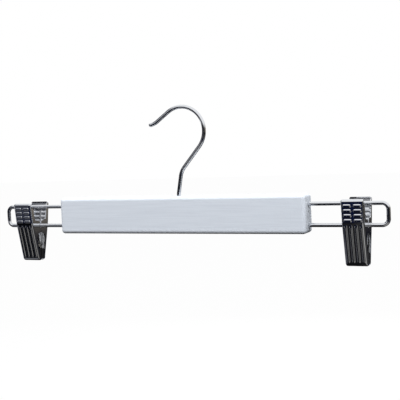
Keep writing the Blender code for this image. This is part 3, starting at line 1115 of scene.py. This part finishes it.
@dataclass
class Pad:
    """The rubber pad in a jaw's foot."""

    jaw: Jaw
    height: float = 9.0 * MM
    seat: float = CLEARANCE
    grooves: int = 4
    groove_width: float = 0.7 * MM
    groove_depth: float = 0.4 * MM
    groove_lip: float = 0.1 * MM
    groove_root: float = 0.12 * MM
    edge: float = 0.15 * MM
    edge_facets: int = 2

    def mesh(self) -> Mesh:
        """Mould one pad about the lower wire, as a front jaw holds it.

        Returns:
            The pad's mesh.
        """
        jaw = self.jaw
        foot = jaw.foot + jaw.sheet + self.seat
        top = foot + self.height
        behind = jaw.sheet + self.seat
        face = -jaw.half_gap
        pitch = self.height / (self.grooves + 1)
        corners: list[Corner] = [
            (jaw.plate_y(top, behind), top, self.seat),
            (jaw.plate_y(foot, behind), foot, jaw.nose_radius - self.seat),
            (face, foot, self.seat),
        ]
        for groove in range(self.grooves):
            z = foot + (groove + 1) * pitch
            corners += [
                (face, z - self.groove_width / 2, self.groove_lip),
                (face - self.groove_depth, z, self.groove_root),
                (face, z + self.groove_width / 2, self.groove_lip),
            ]
        corners.append((face, top, 2 * self.seat))
        outline = round_corners(corners, step=math.radians(15))
        half = jaw.width / 2 - jaw.sheet - self.seat
        return to_mesh(prism(outline, half, outline, self.edge, self.edge_facets), "pad")


@dataclass
class Clip:
    """One clip: two jaws and pads that turn on the lower wire, and the leaf spring between them."""

    side: Side
    jaw: Jaw
    jaw_mesh: Mesh
    pad_mesh: Mesh
    spring_width: float = 8.0 * MM
    spring_sheet: float = 0.5 * MM
    spring_edge: float = 0.12 * MM
    knee_radius: float = 1.2 * MM
    tail: float = 0.8 * MM
    pivot: Vector = field(init=False)

    def __post_init__(self) -> None:
        """Take the clip's centre on the lower wire from the part."""
        joints = {joint["name"]: joint for joint in frame["joints"]}
        self.pivot = Vector(joints[f"{self.side.word}_front_jaw_hinge"]["pos_m"])

    def build(self) -> None:
        """Build the clip's jaws, pads and spring in place."""
        for half in Half:
            place = Matrix.Translation(self.pivot) @ Matrix.Rotation(half.value, 4, "Z")
            label = f"{self.side.word}_{half.word}"
            body = f"{label}_jaw_body"
            jaw = self.jaw_mesh.copy()
            jaw.transform(place)
            finish_piece(jaw, f"{label}_pressed_jaw", CHROME, [f"{label}_jaw"], body)
            pad = self.pad_mesh.copy()
            pad.transform(place)
            finish_piece(pad, f"{label}_rubber_pad", RUBBER, [f"{label}_pad"], body)
            self.build_spring_leg(half, label)

    def build_spring_leg(self, half: Half, label: str) -> None:
        """Bend one leg of the spring, from the top of its arch to the curl round the jaw's lug.

        Args:
            half: the half of the clip that the leg pulls in.
            label: the words that name the side and the half.
        """
        jaw = self.jaw
        toward = Vector((0, -1 if half is Half.FRONT else 1, 0))
        gap = CLEARANCE + self.spring_sheet / 2
        arch = WIRE / 2 + gap
        curl = jaw.lug_sheet / 2 + gap
        curl_z = jaw.lug_height - jaw.lug_drop
        curl_y = -(jaw.plate_y(curl_z, jaw.sheet) + gap + 2 * curl)
        knee_z = jaw.lug_height + jaw.lug_sheet
        lean = math.atan2(curl_y - arch, -knee_z)
        bender = Bender(self.pivot + Vector((0, 0, arch)), math.pi / 2, aside=toward)
        bender.flat_section(self.spring_width, self.spring_sheet, self.spring_edge)
        bender.bend(arch, math.pi / 2 - lean)
        down = bender.place.z - (self.pivot.z + knee_z)
        across = curl_y - abs(bender.place.y)
        tangent = self.knee_radius * math.tan(math.atan2(across, down) / 2)
        bender.straight(math.hypot(down, across) - tangent)
        bender.bend(self.knee_radius, math.pi - bender.heading)
        bender.straight(bender.place.z - (self.pivot.z + curl_z))
        bender.bend(curl, -math.pi)
        bender.straight(self.tail).close()
        leg = finish_piece(bender.mesh, f"{label}_spring_leg", SPRING_STEEL, [f"{self.side.word}_spring"])
        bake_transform(leg)


@dataclass(frozen=True)
class Lamp:
    """A soft box that lights the lacquer and the pads, and that the plating doesn't mirror."""

    name: str
    place: Corner
    size: float
    power: float
    aim: Corner = (0, 0, -0.1)

    def hang(self) -> None:
        """Hang the lamp, turned to the hanger."""
        data = bpy.data.lights.new(self.name, "AREA")
        data.size = self.size
        data.energy = self.power
        lamp = add_object(self.name, data)
        lamp.location = self.place
        lamp.rotation_euler = (Vector(self.place) - Vector(self.aim)).to_track_quat("Z", "Y").to_euler()
        lamp.visible_camera = False
        lamp.visible_glossy = False


@dataclass
class Cloth:
    """A sheet of painted reflection: it glows its own colour at each place, and only the plating mirrors
    it.
    """

    name: str
    material: Material = field(init=False)
    tree: NodeTree = field(init=False)
    place: NodeSocket = field(init=False)
    axes: Sequence[NodeSocket] = field(init=False)

    def __post_init__(self) -> None:
        """Start the painted reflection's material, and find each point's place on it."""
        self.material, self.tree = start_material(self.name)
        self.place = add_node(self.tree, "TexCoord").outputs["Object"]
        self.axes = add_node(self.tree, "SeparateXYZ", {"Vector": self.place}).outputs[:]

    def blend(self, value: NodeSocket, span: Span, first: Shade, last: Shade) -> NodeSocket:
        """Blend from one colour to another as a value crosses a span.

        Args:
            value: the value's socket.
            span: the value where the first colour ends, and the value where the last one starts.
            first: the first colour, in hex or as a socket.
            last: the last colour, in hex or as a socket.

        Returns:
            The blended colour's socket.
        """
        first, last = (linear(colour) if isinstance(colour, str) else colour for colour in (first, last))
        ends = {"Value": value, "From Min": span[0], "From Max": span[1], "To Min": 0.0, "To Max": 1.0}
        share = add_node(self.tree, "MapRange", ends, interpolation_type="SMOOTHSTEP")
        colours = {MIX_SHARE: share.outputs["Result"], MIX_FIRST: first, MIX_LAST: last}
        return add_node(self.tree, "Mix", colours, data_type="RGBA").outputs[MIX_RESULT]

    def blend_round(self, centre: Corner, span: Span, first: Shade, last: Shade) -> NodeSocket:
        """Blend as blend does, as the distance from a point crosses a span."""
        reach = add_node(self.tree, "VectorMath", {0: self.place, 1: centre}, operation="DISTANCE")
        return self.blend(reach.outputs["Value"], span, first, last)

    def hang(self, shape: BMesh, colour: NodeSocket) -> None:
        """Hang the sheet of painted reflection where only reflections see it.

        Args:
            shape: its faces, in place.
            colour: its colour's socket.
        """
        # The sheet glows its colour, which paints the light and shade that the plating reflects
        shade = add_node(self.tree, "Emission", {"Color": colour, "Strength": 1.0})
        add_node(self.tree, "OutputMaterial", {"Surface": shade.outputs[0]})
        mesh = to_mesh(shape, self.name, outwards=False)
        mesh.materials.append(self.material)
        painted_reflection = add_object(self.name, mesh)
        painted_reflection.visible_camera = False
        painted_reflection.visible_diffuse = False
        painted_reflection.visible_shadow = False


def seen_directly(tree: NodeTree) -> NodeSocket:
    """Tell the rays that see the white background from the rest.

    Args:
        tree: the node tree of the material or the world.

    Returns:
        The socket of 1 for camera, glossy and transmission rays, and of 0 for all others.
    """
    path = add_node(tree, "LightPath")
    seen = path.outputs["Is Camera Ray"]
    for kind in ("Is Glossy Ray", "Is Transmission Ray"):
        ends = {0: seen, 1: path.outputs[kind]}
        seen = add_node(tree, "Math", ends, operation="ADD", use_clamp=True).outputs[0]
    return seen


@dataclass
class Studio:
    """A white floor and backdrop, soft lamps, sheets of painted reflection for the plating to mirror, and
    the photo's camera.
    """

    bar: Bar
    lens: float = 77.69
    sensor: float = 36.0
    clip_start: float = 0.01
    yaw: float = math.radians(24.46)
    pitch: float = math.radians(-3.62)
    roll: float = math.radians(-2.47)
    camera_from_bar: Vector = field(default_factory=lambda: Vector((317.26, -654.61, 57.43)) * MM)
    floor_level: float = -0.55
    floor_half: float = 12.0
    floor_white: float = 0.965
    cloth_level: float = -0.53
    tent_radius: float = 2.4
    tent_top: float = 2.2
    tent_opening: float = math.radians(56)
    tent_sides: int = 72
    sky_heights: Span = (-0.2, 0.6)
    sky_strengths: Span = (0.01, 0.62)
    lamps: Sequence[Lamp] = (
        Lamp("overhead", (-0.35, -0.6, 1.2), 1.3, 12.0),
        Lamp("front_fill", (0.1, -1.5, 0.95), 1.0, 14.0),
        Lamp("right_fill", (1.7, -0.3, 0.75), 1.0, 17.0),
        Lamp("back_fill", (-0.5, 1.6, 0.3), 1.0, 12.0),
    )

    def build(self) -> None:
        """Set up the stage."""
        self.place_camera()
        self.lay_floor()
        self.hang_wall()
        self.lay_ground_cloth()
        for lamp in self.lamps:
            lamp.hang()
        self.light_room()

    def place_camera(self) -> None:
        """Place the camera as the photograph's was."""
        ahead = Vector((-math.sin(self.yaw), math.cos(self.yaw), 0))
        forward = ahead * math.cos(self.pitch) + Vector((0, 0, math.sin(self.pitch)))
        level = Vector((math.cos(self.yaw), math.sin(self.yaw), 0))
        upright = level.cross(forward)
        right = level * math.cos(self.roll) + upright * math.sin(self.roll)
        up = upright * math.cos(self.roll) - level * math.sin(self.roll)
        data = bpy.data.cameras.new("camera")
        data.lens = self.lens
        data.sensor_width = self.sensor
        data.clip_start = self.clip_start
        camera = add_object("camera", data)
        turn = Matrix((right, up, -forward)).transposed().to_4x4()
        camera.matrix_world = Matrix.Translation(self.bar.centre + self.camera_from_bar) @ turn
        bpy.context.scene.camera = camera

    def lay_floor(self) -> None:
        """Lay a wide floor that looks white and keeps a trace of the hanger's shadow."""
        shape = bmesh.new()
        place = Matrix.Translation((0, 0, self.floor_level))
        bmesh.ops.create_grid(shape, x_segments=1, y_segments=1, size=self.floor_half, matrix=place)
        material, tree = start_material("pale_floor")
        paint = add_node(tree, "BsdfDiffuse", {"Color": linear("#F7F7F7")})
        white = add_node(tree, "Emission", {"Color": linear("#FFFFFF"), "Strength": 1.0})
        ends = {0: seen_directly(tree), 1: self.floor_white}
        share = add_node(tree, "Math", ends, operation="MULTIPLY")
        ends = {0: share.outputs[0], 1: paint.outputs[0], 2: white.outputs[0]}
        surface = add_node(tree, "MixShader", ends)
        add_node(tree, "OutputMaterial", {"Surface": surface.outputs[0]})
        mesh = to_mesh(shape, "floor", outwards=False)
        mesh.materials.append(material)
        floor = add_object("floor", mesh)
        floor.visible_diffuse = False

    def hang_wall(self) -> None:
        """Hang a wall of painted reflection round the hanger, with a gap behind it that shows the white
        backdrop.

        The wall glows its own colours and only the plating mirrors it: painted shade below, and above it
        painted white highlights at the right and in the middle, and dull grey at the left, which paint the
        plating's bright and dark lines.
        """
        away = math.atan2(math.cos(self.yaw), -math.sin(self.yaw)) + self.tent_opening / 2
        start = Matrix.Translation((0, 0, self.cloth_level)) @ Matrix.Rotation(away, 4, "Z")
        shape = bmesh.new()
        foot = shape.verts.new(start @ Vector((self.tent_radius, 0, 0)))
        turn = {"cent": (0, 0, self.cloth_level), "axis": (0, 0, 1), "angle": math.tau - self.tent_opening}
        bmesh.ops.spin(shape, geom=[foot], steps=self.tent_sides, use_merge=False, **turn)
        rim = verts_of(bmesh.ops.extrude_edge_only(shape, edges=shape.edges[:])["geom"])
        bmesh.ops.translate(shape, verts=rim, vec=(0, 0, self.tent_top - self.cloth_level))
        painted_reflection = Cloth("flag_wall")
        # Each span is in metres along the axis before it
        x, y, z = painted_reflection.axes
        # Painted reflection: dark shade below, white highlights at the right and in the middle, grey at the
        # left
        side = painted_reflection.blend(x, (-0.48, 1.68), "#2A2B30", "#8A8378")
        below = painted_reflection.blend(y, (-1.44, 0.48), "#1A1B20", side)
        hem = painted_reflection.blend(x, (-1.68, -2.04), "#12141F", "#E0E1E6")
        low = painted_reflection.blend(z, (-0.38, -0.2), hem, below)
        right = painted_reflection.blend(z, (0.15, 0.9), low, "#FFFFFF")
        middle = painted_reflection.blend(z, (0.02, 0.3), low, "#FFFFFF")
        glow = painted_reflection.blend(z, (0.1, 0.65), low, "#989AA2")
        beside = painted_reflection.blend(y, (-0.96, -1.44), low, glow)
        left = painted_reflection.blend(z, (1.7, 2.2), beside, "#9C9DA2")
        ahead = painted_reflection.blend(x, (-0.72, -1.08), right, middle)
        painted_reflection.hang(shape, painted_reflection.blend(x, (-1.248, -1.584), ahead, left))

    def lay_ground_cloth(self) -> None:
        """Lay a disc of painted reflection under the hanger: painted shade, navy farther out, with patches
        of painted reflection for single pieces to mirror.
        """
        level = self.cloth_level
        shape = bmesh.new()
        middle = (0, 0, level)
        place = Matrix.Translation(middle)
        bmesh.ops.create_circle(
            shape, cap_ends=True, segments=self.tent_sides, radius=self.tent_radius, matrix=place
        )
        painted_reflection = Cloth("flag_ground")
        x, _, _ = painted_reflection.axes
        # Painted shade: near black under the hanger and navy farther out, which the plating mirrors as its
        # dark lower halves
        colour = painted_reflection.blend_round(middle, (0.65, 0.3), "#151518", "#0E0E10")
        colour = painted_reflection.blend_round(middle, (0.8, 1.1), colour, "#101733")
        colour = painted_reflection.blend(x, (0.85, 1.1), colour, "#4A4946")
        colour = painted_reflection.blend(x, (-0.95, -1.15), colour, "#43454E")
        # Each patch's centre, the distances from it where the patch starts and is full, and its shade
        patches = (
            # Below the bar's right half: a pale patch, painted reflection for the hook
            ((0.42, -0.2), (0.4, 0.2), "#8C8A88"),
            # In front of the right clip: a pale patch, painted reflection for its ribs
            ((0.32, -0.8), (0.42, 0.15), "#B4B2AE"),
            # Below the left clip: a grey patch, painted reflection for its ribs
            ((-0.42, -0.3), (0.33, 0.15), "#6E6F74"),
            # In front of the left clip: a black patch, painted shade for its plate
            ((-0.75, -0.75), (0.4, 0.3), "#08090C"),
        )
        for centre, span, shade in patches:
            colour = painted_reflection.blend_round((*centre, level), span, colour, shade)
        painted_reflection.hang(shape, colour)

    def light_room(self) -> None:
        """Fill the room with soft light from above, and make the backdrop white."""
        world = bpy.data.worlds.new("studio")
        bpy.context.scene.world = world
        world.use_nodes = True
        tree = world.node_tree
        tree.nodes.clear()
        direction = add_node(tree, "TexCoord").outputs["Generated"]
        split = add_node(tree, "SeparateXYZ", {"Vector": direction})
        low, high = self.sky_heights
        dim, bright = self.sky_strengths
        ends = {"From Min": low, "From Max": high, "To Min": dim, "To Max": bright}
        strength = add_node(tree, "MapRange", {"Value": split.outputs["Z"], **ends}).outputs["Result"]
        white = linear("#FFFFFF")
        sky = add_node(tree, "Background", {"Color": white, "Strength": strength})
        backdrop = add_node(tree, "Background", {"Color": white, "Strength": 1.0})
        ends = {0: seen_directly(tree), 1: sky.outputs[0], 2: backdrop.outputs[0]}
        mixed = add_node(tree, "MixShader", ends)
        add_node(tree, "OutputWorld", {"Surface": mixed.outputs[0]})


def main() -> None:
    """Build the hanger and its stage."""
    logging.basicConfig(level=logging.INFO, format="%(name)s %(message)s")
    bar = Bar()
    bar.build()
    Hook(bar).build()
    for side in Side:
        WireLoop(side).build()
    jaw = Jaw()
    jaw_mesh = jaw.mesh()
    pad_mesh = Pad(jaw).mesh()
    for side in Side:
        Clip(side, jaw, jaw_mesh, pad_mesh).build()
    Studio(bar).build()
    bpy.context.scene.view_settings.view_transform = "Standard"
    bpy.context.view_layer.update()


if __name__ == "__main__":
    main()
